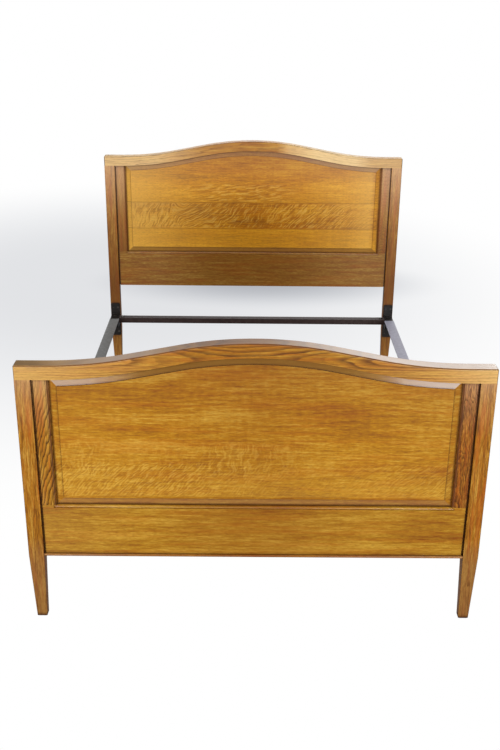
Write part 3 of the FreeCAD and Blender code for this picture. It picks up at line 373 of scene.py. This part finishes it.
# Quartered panels with golden margins; the head panel is glued up from three boards.
panels = {
    "head_panel": {
        "seams": (746, 873), "shift": 400, "paintedSheen": "#f0ba52", "middle": "#c47e08", "light": "#e8aa28",
        "corner": (0.008, 0.65, 0.7), "grimeAndShade": "#4a2604", "shadeAndHandling": "#6a3c0c", "stainAndShade": "#5a300a",
        "moulding": 0.2, "arris": 0.7, "deepest": -1,
        "bevels": (
            (1, ((-604, 0.25, 0), (-300, 0.15, 0), (0, 0.12, 0.05), (300, 0.3, 0), (604, 0.35, 0))),
            (-1, ((-604, 0.06, 0.5), (604, 0.06, 0.5))),
        ),
        "rise": (
            (630, 0.3, 0), (744, 0.28, 0), (748, 0, 0.04), (871, 0, 0),
            (875, 0.2, 0), (960, 0.12, 0), (1080, 0, 0.4),
        ),
        "sheenAndShade": (
            (-604, 0.7, 0), (-580, 0.6, 0), (-560, 0.55, 0), (-460, 0.4, 0), (-300, 0.15, 0), (0, 0, 0.22),
            (250, 0, 0.12), (450, 0.2, 0), (560, 0.5, 0), (580, 0.1, 0), (604, 0.05, 0.1),
        ),
        "flecks": (
            {
                "low": 752, "high": 868, "middle": 812, "long": 40, "wide": 8, "bend": 45, "share": 0.5,
                "along": (
                    (-600, 0.2, 0), (-560, 0.3, 0.5), (-500, 0.45, 0.8), (-380, 0.5, 0.9), (-330, 2.2, 1),
                    (-230, 2.0, 1), (-190, 1.1, 1), (-40, 0.8, 0.7), (60, 0.7, 0.4), (160, 0.9, 0.9),
                    (380, 1.1, 0.9), (560, 1.6, 0.2),
                ),
            },
            {
                "low": 880, "high": 960, "middle": 920, "long": 11, "wide": 34, "bend": 120, "share": 0.4,
                "along": (
                    (-600, 3.6, 0), (-330, 3.8, 0.3), (-200, 3.8, 1),
                    (80, 3.6, 1), (220, 3.4, 0.1), (600, 3.2, 0),
                ),
            },
        ),
    },
    "foot_panel": {
        "shift": 2900, "middle": "#b2780a", "paintedSheen": "#e2a83c",
        "corner": (0.008, 0.75, 0.75), "grimeAndShade": "#4a2604", "shadeAndHandling": "#7a5210", "stainAndShade": "#4a2406",
        "moulding": 0.35, "arris": 0.9, "deepest": -1,
        "bevels": (
            (1, (
                (-604, 0.6, 0), (-480, 0.5, 0.02), (-400, 0.2, 0.25), (-330, 0, 0.7), (-240, 0, 0.85),
                (0, 0, 0.85), (270, 0, 0.75), (350, 0.05, 0.5), (430, 0.5, 0.04),
                (520, 0.8, 0), (604, 0.85, 0),
            )),
            (-1, ((-604, 0.14, 0.12), (604, 0.14, 0.12))),
        ),
        "rise": (
            (412, 0, 0.15), (434, 0, 0.15), (438, 0.22, 0), (540, 0.04, 0),
            (640, 0, 0.03), (760, 0, 0.16), (880, 0, 0.4),
        ),
        "sheenAndShade": (
            (-604, 0.1, 0.05), (-480, 0.1, 0), (-300, 0.02, 0),
            (0, 0, 0.22), (300, 0.03, 0), (604, 0.04, 0.05),
        ),
        "flecks": (
            {
                "low": 438, "high": 550, "middle": 500, "long": 22, "wide": 6, "bend": 36, "share": 0.3,
                "along": (
                    (-600, 0.8, 0.9), (-250, 1.0, 1), (-60, 0.8, 0.5),
                    (150, 0.8, 0.2), (400, 1.2, 0.5), (600, 1.2, 0.7),
                ),
            },
            {
                "low": 505, "high": 615, "middle": 560, "long": 44, "wide": 8, "bend": 60, "share": 0.22,
                "along": (
                    (-600, 0.1, 0.3), (-500, 0.1, 0.9), (-420, 0.2, 0.2), (-200, 0.3, 0.3), (-60, 0.2, 1),
                    (80, 0.1, 0.4), (250, 0.1, 0),
                ),
            },
        ),
    },
}
for name, board in panels.items():
    dress(oakMaterial(f"{name}_quartered_oak", dict(board, grain="x")), name)

# Lower rails: mild straight grain.
lowerRails = {
    "head_lower_rail": {
        "shift": 5200, "tone": 0.42, "middle": "#96671c", "light": "#b88c3e", "paintedShade": "#6c430e",
        "corner": (0.02, 0.7, 0.6), "moulding": 0.1,
        "streaks": ((260, 12, 0.45), (70, 6, 0.55), (18, 4, 0.55)),
        # darker across the middle: painted shade standing in for the footboard's shadow
        "sheenAndShade": (
            (-700, 0, 0), (-450, 0.04, 0.1), (-200, 0, 0.4),
            (150, 0, 0.45), (400, 0.03, 0.2), (700, 0.04, 0.1),
        ),
    },
    "foot_lower_rail": {
        "shift": 9400, "tone": 0.47, "middle": "#ac7a1a", "corner": (0.012, 0.8, 0.6),
        "patches": (320, 14, 0.2), "streaks": ((420, 40, 0.45), (70, 6, 0.35), (18, 3.5, 0.28)),
        "sheenAndShade": (
            (-700, 0.04, 0), (-350, 0, 0.05), (-150, 0, 0.3),
            (100, 0, 0.36), (350, 0, 0.1), (700, 0, 0.05),
        ),
    },
    "foot_bottom_bead": {
        "shift": 1400, "tone": 0.3, "sheenAndShade": ((-700, 0.2, 0.5), (0, 0, 0.6), (700, 0.2, 0.4)),
    },
}
for name, board in lowerRails.items():
    dress(oakMaterial(f"{name}_oak", dict(board, grain="x")), name)

# Posts are rift-sawn with long fine lines; the stiles are plain-sawn and show half arches.
postWood = {
    "grain": "z", "tone": 0.55,
    "dark": "#70400c", "middle": "#a86c12", "light": "#cc983c", "paintedSheen": "#dcb48a",
    "streaks": ((240, 16, 0.45), (60, 5, 0.55), (16, 3, 0.35)), "patches": (200, 14, 0.55),
}
postLines = {
    "steep": 1, "bow": 1, "slope": 0.05, "width": 7, "tip": 200,
    "wander": ((300, 30, 40), (70, 9, 10)), "faintest": 0.1, "broken": 0.3,
}
stileWood = dict(
    postWood, line="#2e1402", streaks=((240, 16, 0.35), (60, 6, 0.25), (16, 3, 0.2)),
    deepest=0.45,  # only the outer half of a stile's moulding is dark
)
stileLines = {"tip": 0, "wander": ((120, 30, 40), (40, 12, 16)), "faintest": 0.65, "broken": 0.8}
uprights = {
    "head": {
        # darker low down: painted shade standing in for the footboard's shadow; lighter at the top: painted
        # sheen
        "sheenAndShade": (
            (120, 0.1, 0.4), (420, 0, 0.8), (480, 0, 0.75), (640, 0, 0.5),
            (800, 0.05, 0.15), (950, 0.3, 0), (1060, 0.45, 0),
        ),
        "clear": 0.3, "shift": 700, "reach": 0.024, "moulding": 0.9, "grimeAndShade": "#4a2608", "paintedShade": "#704010",
    },
    "foot": {
        "sheenAndShade": ((0, 0.2, 0.6), (200, 0.15, 0.45), (300, 0, 0.1), (650, 0, 0), (760, 0.15, 0), (830, 0.4, 0)),
        "clear": 1, "shift": 0, "reach": 0.018, "moulding": 0.85, "grimeAndShade": "#341203", "paintedShade": "#6a3e10",
    },
}
stiles = {
    "foot_left": {
        "rings": {
            "heart": -601, "slope": 0.5, "steep": 0.42, "bow": 1.35, "width": 19,
            "clear": ((400, 1, 0), (720, 1, 0), (780, 0.4, 0)),
        },
        "wood": {"middle": "#b67c1c", "light": "#d8a850"},
    },
    "foot_right": {
        "rings": {
            "heart": 616, "slope": 0.12, "steep": 0.36, "bow": 1.3, "width": 7,
            "clear": ((400, 0.9, 0), (780, 0.7, 0)),
        },
        "wood": {
            "middle": "#9a5c10", "light": "#c2802c", "warm": "#a04a0a", "patches": (90, 5, 0.6),
            "streaks": ((240, 16, 0.4), (60, 4, 0.8), (16, 2.5, 0.8)),
        },
    },
    "head_left": {
        "rings": {
            "heart": -600, "slope": 0.1, "steep": 0.5, "bow": 1.2, "width": 8,
            "clear": ((600, 0.3, 0), (900, 0.15, 0)),
        },
        "wood": {},
    },
    "head_right": {
        "rings": {
            "heart": 628, "slope": 0.6, "steep": 0.2, "bow": 1.2, "width": 9,
            "clear": ((600, 0.6, 0), (850, 0.2, 0)),
        },
        "wood": {},
    },
}
sideShift, stileShift, postHeart, postTop = 2300, 900, 500, 1200
postCorner, stileCorner = (1.0, 0.6), (0.6, 0.6)  # share, and the openness at which it is full
for end, upright in uprights.items():
    for side, sign in (("left", -1), ("right", 1)):
        shared = {name: upright[name] for name in ("sheenAndShade", "grimeAndShade", "paintedShade")}
        shift = sideShift * sign + upright["shift"]
        look = dict(postWood, shift=shift, corner=(upright["reach"], *postCorner), **shared)
        clear = ((0, upright["clear"], 0), (postTop, upright["clear"], 0))
        look["rings"] = dict(postLines, heart=sign * postHeart, clear=clear)
        dress(oakMaterial(f"{end}_{side}_post_oak", look), f"{end}_{side}_post", f"{end}_{side}_dowels")

        stile = stiles[f"{end}_{side}"]
        look = dict(stileWood, shift=shift + stileShift, corner=(upright["reach"], *stileCorner), **shared)
        look["moulding"] = upright["moulding"]
        look["rings"] = dict(stileLines, **stile["rings"])
        look.update(stile["wood"])
        dress(oakMaterial(f"{end}_{side}_stile_oak", look), f"{end}_{side}_stile")
print("oak done")

# Ironwork: rolled angle iron under old paint that is rubbed paler in blotches, cast iron under
# glossy black japan, and steel fastenings gone dark. Sizes are in millimetres.
iron = {
    "japanned": {"colour": "#100c09", "worn": "#2a211a", "roughness": 0.3, "metallic": 0, "specular": 0.5},
    "leftPaint": {"colour": "#6f706e", "worn": "#878786", "roughness": 0.4, "metallic": 0, "specular": 0.4},
    "rightPaintLitCopy": {"colour": "#8c8c9a", "worn": "#a3a3b2", "roughness": 0.4, "metallic": 0, "specular": 0.4},
    "crossPaint": {"colour": "#30201c", "worn": "#43322e", "roughness": 0.5, "metallic": 0, "specular": 0.3},
    "darkSteel": {"colour": "#3b3835", "worn": "#7d7873", "roughness": 0.4, "metallic": 0.9},
    "blotch": 14,
    "blotchDetail": 5,
    "wearSpan": (0.4, 0.75),
    "wearShare": 0.8,
    "grit": 1.5,
    "gritDetail": 2,
    "gritBump": {"Strength": 0.3, "Distance": 0.0003},  # a depth in metres
}


def ironMaterial(name, look):
    material, tree = newMaterial(name)
    place = {0: addNode(tree, "TexCoord").outputs["Object"], "Scale": perMetre}
    place = addNode(tree, "VectorMath", place, operation="SCALE").outputs[0]
    pattern = {"Vector": place, "Scale": 1 / iron["blotch"], "Detail": iron["blotchDetail"]}
    blotch = addNode(tree, "TexNoise", pattern).outputs[0]
    start, full = iron["wearSpan"]
    wear = addNode(tree, "MapRange", {0: blotch, 1: start, 2: full, 4: iron["wearShare"]}).outputs[0]
    mix = {0: wear, 6: linear(look["colour"]), 7: linear(look["worn"])}
    colour = addNode(tree, "Mix", mix, data_type="RGBA").outputs[2]
    pattern = {"Vector": place, "Scale": 1 / iron["grit"], "Detail": iron["gritDetail"]}
    grit = addNode(tree, "TexNoise", pattern).outputs[0]
    bump = addNode(tree, "Bump", dict(iron["gritBump"], Height=grit)).outputs[0]
    finish = {"Base Color": colour, "Normal": bump}
    finish.update({"Roughness": look["roughness"], "Metallic": look["metallic"]})
    if not look["metallic"]:  # bare metal keeps its own reflection
        finish["Specular IOR Level"] = look["specular"]
    shader = addNode(tree, "BsdfPrincipled", finish).outputs[0]
    addNode(tree, "OutputMaterial", {"Surface": shader})
    return material


japanned = ironMaterial("black_japanned_cast_iron", iron["japanned"])
# the two side irons carry one grey paint; the right one's lighter lavender copy is painted reflection of the
# room, as is the left one's greenish tint
sidePaint = {
    "left": ironMaterial("grey_painted_angle_iron", iron["leftPaint"]),
    "right": ironMaterial("grey_painted_angle_iron_lit_copy", iron["rightPaintLitCopy"]),
}
crossPaint = ironMaterial("brown_painted_angle_iron", iron["crossPaint"])
darkSteel = ironMaterial("darkened_steel_fastenings", iron["darkSteel"])
for end in ("head", "foot"):
    dress(crossPaint, f"{end}_cross_iron")
    dress(darkSteel, f"{end}_cross_bolts", f"{end}_cross_nuts")
    for side in ("left", "right"):
        dress(japanned, f"{end}_{side}_bracket", f"{end}_{side}_hook")
        dress(sidePaint[side], f"{side}_side_iron", f"{end}_{side}_rivets")
        dress(darkSteel, f"{end}_{side}_screws")
print("ironwork done")

# Studio: white paper underfoot, the key light high on the left and two low strips behind
# the camera, which the sloping margins and rounded edges mirror.
studio = {
    "floorSize": 60,
    "floorColour": "#76777a",
    "shadeColour": "#e6ecf8",
    "shades": (  # the bay of the bed, and the paper left of it
        {"middle": (0.1, 2.55, 0), "stretch": (1.2, 2.6, 1), "near": 0.2, "far": 1.5, "least": 0.55},
        {"middle": (-0.9, 2.6, 0), "stretch": (1, 1, 1), "near": 0.6, "far": 3.2, "least": 0.76},
    ),
    "fillColour": "#f4f6fb",
    "fill": 0.5,
    "gloss": 0.12,
}
softboxes = [
    {"name": "key_left", "at": (-5.0, -7.5, 3.6), "aim": (0, 0, 0.8), "size": (2.0, 1.5), "power": 245},
    {"name": "strip_left", "at": (-2.4, -9.0, 0.75), "aim": (0, 0, 0.7), "size": (2.2, 0.9), "power": 140},
    {"name": "strip_right", "at": (2.6, -9.0, 0.75), "aim": (0, 0, 0.7), "size": (2.6, 0.9), "power": 280},
    {"name": "fill_right", "at": (5.5, -7.0, 2.4), "aim": (0.3, 0, 0.7), "size": (1.6, 1.2), "power": 50},
    {"name": "overhead", "at": (0, -0.2, 3.2), "aim": (0, 0.6, 0.8), "size": (2.4, 0.8), "power": 30},
    {"name": "behind", "at": (1.2, 5.0, 3.0), "aim": (0.3, -0.5, 0.7), "size": (5.0, 2.0), "power": 80},
    {"name": "behind_right", "at": (3.1, 5.0, 3.3), "aim": (0.5, -1, 0.9), "size": (1.6, 1.2), "power": 36},
]

floorMesh = bpy.data.meshes.new("studio_floor")
half = studio["floorSize"] / 2
corners = [(-half, -half, 0), (half, -half, 0), (half, half, 0), (-half, half, 0)]
floorMesh.from_pydata(corners, [], [(0, 1, 2, 3)])
floor = bpy.data.objects.new("studio_floor", floorMesh)
scene.collection.objects.link(floor)
paper, tree = newMaterial("white_paper_floor")
matt = addNode(tree, "BsdfDiffuse", {"Color": linear(studio["floorColour"])}).outputs[0]
place = addNode(tree, "TexCoord").outputs["Object"]
glowShare = 1
# where the glow is lowered the camera sees the paper's real shadow, and the glow turns to the shade colour:
# painted shade on the paper around and behind the bed
for shade in studio["shades"]:
    away = addNode(tree, "VectorMath", {0: place, 1: shade["middle"]}, operation="SUBTRACT").outputs[0]
    away = addNode(tree, "VectorMath", {0: away, 1: shade["stretch"]}, operation="MULTIPLY").outputs[0]
    away = addNode(tree, "VectorMath", {0: away}, operation="LENGTH").outputs["Value"]
    span = {0: away, 1: shade["near"], 2: shade["far"], 3: shade["least"], 4: 1}
    level = addNode(tree, "MapRange", span, interpolation_type="SMOOTHSTEP").outputs[0]
    glowShare = addNode(tree, "Math", {0: level, 1: glowShare}, operation="MULTIPLY").outputs[0]
mix = {0: glowShare, 6: linear(studio["shadeColour"]), 7: white}
glow = addNode(tree, "Mix", mix, data_type="RGBA").outputs[2]
glow = addNode(tree, "Emission", {"Color": glow, "Strength": 1}).outputs[0]
rays = addNode(tree, "LightPath").outputs
seen = addNode(tree, "Math", {0: rays["Is Camera Ray"], 1: glowShare}, operation="MULTIPLY").outputs[0]
mixed = addNode(tree, "MixShader", {0: seen, 1: matt, 2: glow}).outputs[0]
addNode(tree, "OutputMaterial", {"Surface": mixed})
floorMesh.materials.append(paper)

world = bpy.data.worlds.new("studio_air")
scene.world = world
world.use_nodes = True
tree = world.node_tree
tree.nodes.clear()
rays = addNode(tree, "LightPath").outputs
glossy = {0: rays["Is Glossy Ray"], 3: studio["fill"], 4: studio["gloss"]}
glossy = addNode(tree, "MapRange", glossy).outputs[0]
strength = addNode(tree, "MapRange", {0: rays["Is Camera Ray"], 3: glossy, 4: 1}).outputs[0]
mix = {0: rays["Is Camera Ray"], 6: linear(studio["fillColour"]), 7: white}
shade = addNode(tree, "Mix", mix, data_type="RGBA").outputs[2]
air = addNode(tree, "Background", {"Color": shade, "Strength": strength}).outputs[0]
addNode(tree, "OutputWorld", {"Surface": air})

for box in softboxes:
    data = bpy.data.lights.new(box["name"], "AREA")
    data.shape = "RECTANGLE"
    data.size, data.size_y = box["size"]
    data.energy = box["power"]
    lamp = bpy.data.objects.new(box["name"], data)
    lamp.location = box["at"]
    lamp.rotation_euler = (Vector(box["aim"]) - Vector(box["at"])).to_track_quat("-Z", "Y").to_euler()
    lamp.visible_camera = False
    scene.collection.objects.link(lamp)

# The photograph's viewpoint, a little above head height and left of the middle.
view = {
    "place": (-0.0316, -3.7215, 1.9525),
    "pitch": -0.394,
    "yaw": -0.0054,
    "roll": -0.0098,
    "lens": 48.14,
    "sensor": 36,
}
cameraData = bpy.data.cameras.new("photo_view")
cameraData.sensor_fit = "AUTO"
cameraData.sensor_width = view["sensor"]
cameraData.lens = view["lens"]
camera = bpy.data.objects.new("photo_view", cameraData)
turn = Matrix.Rotation(view["yaw"], 4, "Z") @ Matrix.Rotation(view["pitch"], 4, "X")
turn = turn @ Matrix.Rotation(view["roll"], 4, "Y") @ Matrix.Rotation(math.pi / 2, 4, "X")
camera.matrix_world = Matrix.Translation(view["place"]) @ turn
scene.collection.objects.link(camera)
scene.camera = camera

scene.view_settings.view_transform = "Standard"
print("studio done")
